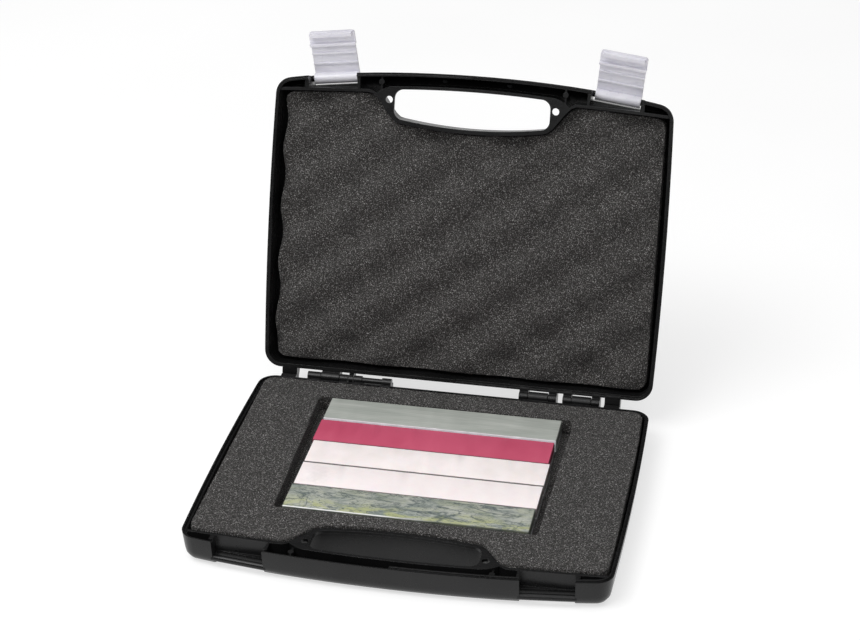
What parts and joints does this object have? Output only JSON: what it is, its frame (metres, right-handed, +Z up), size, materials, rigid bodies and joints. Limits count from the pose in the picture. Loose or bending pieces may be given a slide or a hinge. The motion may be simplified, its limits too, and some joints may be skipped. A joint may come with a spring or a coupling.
{
  "type": "sharpening stone set",
  "caption": "Bench sharpening stones on aluminium blanks, in a foam-lined plastic carrying case with a handle slot, hinged lid and snap latches.",
  "frame": {"origin": "centre of the case's underside", "axes": "+X along the hinge to the right, +Y towards the hinge, +Z up"},
  "size_m": [0.2594, 0.2848, 0.2324],
  "materials": {
    "case_plastic": "satin",
    "latch_plastic": "satin",
    "foam": "matte",
    "blank_aluminium": "satin",
    "grey_abrasive": "matte",
    "ruby_abrasive": "matte",
    "pale_abrasive": "matte",
    "white_abrasive": "matte",
    "green_abrasive": "matte"
  },
  "bodies": {
    "base": {"base_shell": "case_plastic", "base_foam": "foam", "base_pad": "foam"},
    "lid": {"lid_shell": "case_plastic", "lid_foam": "foam"},
    "left_latch": {"latch_left": "latch_plastic"},
    "right_latch": {"latch_right": "latch_plastic"},
    "grey_bench_stone": {"grey_blank": "blank_aluminium", "grey_stone": "grey_abrasive"},
    "ruby_bench_stone": {"ruby_blank": "blank_aluminium", "ruby_stone": "ruby_abrasive"},
    "pale_bench_stone": {"pale_blank": "blank_aluminium", "pale_stone": "pale_abrasive"},
    "white_bench_stone": {"white_blank": "blank_aluminium", "white_stone": "white_abrasive"},
    "green_bench_stone": {"green_blank": "blank_aluminium", "green_stone": "green_abrasive"}
  },
  "joints": [
    {"name": "lid_hinge", "type": "hinge", "parent": "base", "child": "lid", "pos_m": [0, 0.1022, 0.019], "axis": [-1, 0, 0], "range_deg": [-108.8, 0]},
    {"name": "left_latch_hinge", "type": "hinge", "parent": "lid", "child": "left_latch", "pos_m": [-0.0913, 0.17741, 0.1996], "axis": [-0.993, -0.0382, -0.1121], "range_deg": [-69, 61]},
    {"name": "right_latch_hinge", "type": "hinge", "parent": "lid", "child": "right_latch", "pos_m": [0.0913, 0.17741, 0.1996], "axis": [-0.993, 0.0382, 0.1121], "range_deg": [-62, 68]},
    {"name": "grey_stone_lift", "type": "slide", "parent": "base", "child": "grey_bench_stone", "axis": [0, 0, 1], "range_m": [0, 0.03]},
    {"name": "ruby_stone_lift", "type": "slide", "parent": "base", "child": "ruby_bench_stone", "axis": [0, 0, 1], "range_m": [0, 0.03]},
    {"name": "pale_stone_lift", "type": "slide", "parent": "base", "child": "pale_bench_stone", "axis": [0, 0, 1], "range_m": [0, 0.03]},
    {"name": "white_stone_lift", "type": "slide", "parent": "base", "child": "white_bench_stone", "axis": [0, 0, 1], "range_m": [0, 0.03]},
    {"name": "green_stone_lift", "type": "slide", "parent": "base", "child": "green_bench_stone", "axis": [0, 0, 1], "range_m": [0, 0.03]}
  ]
}
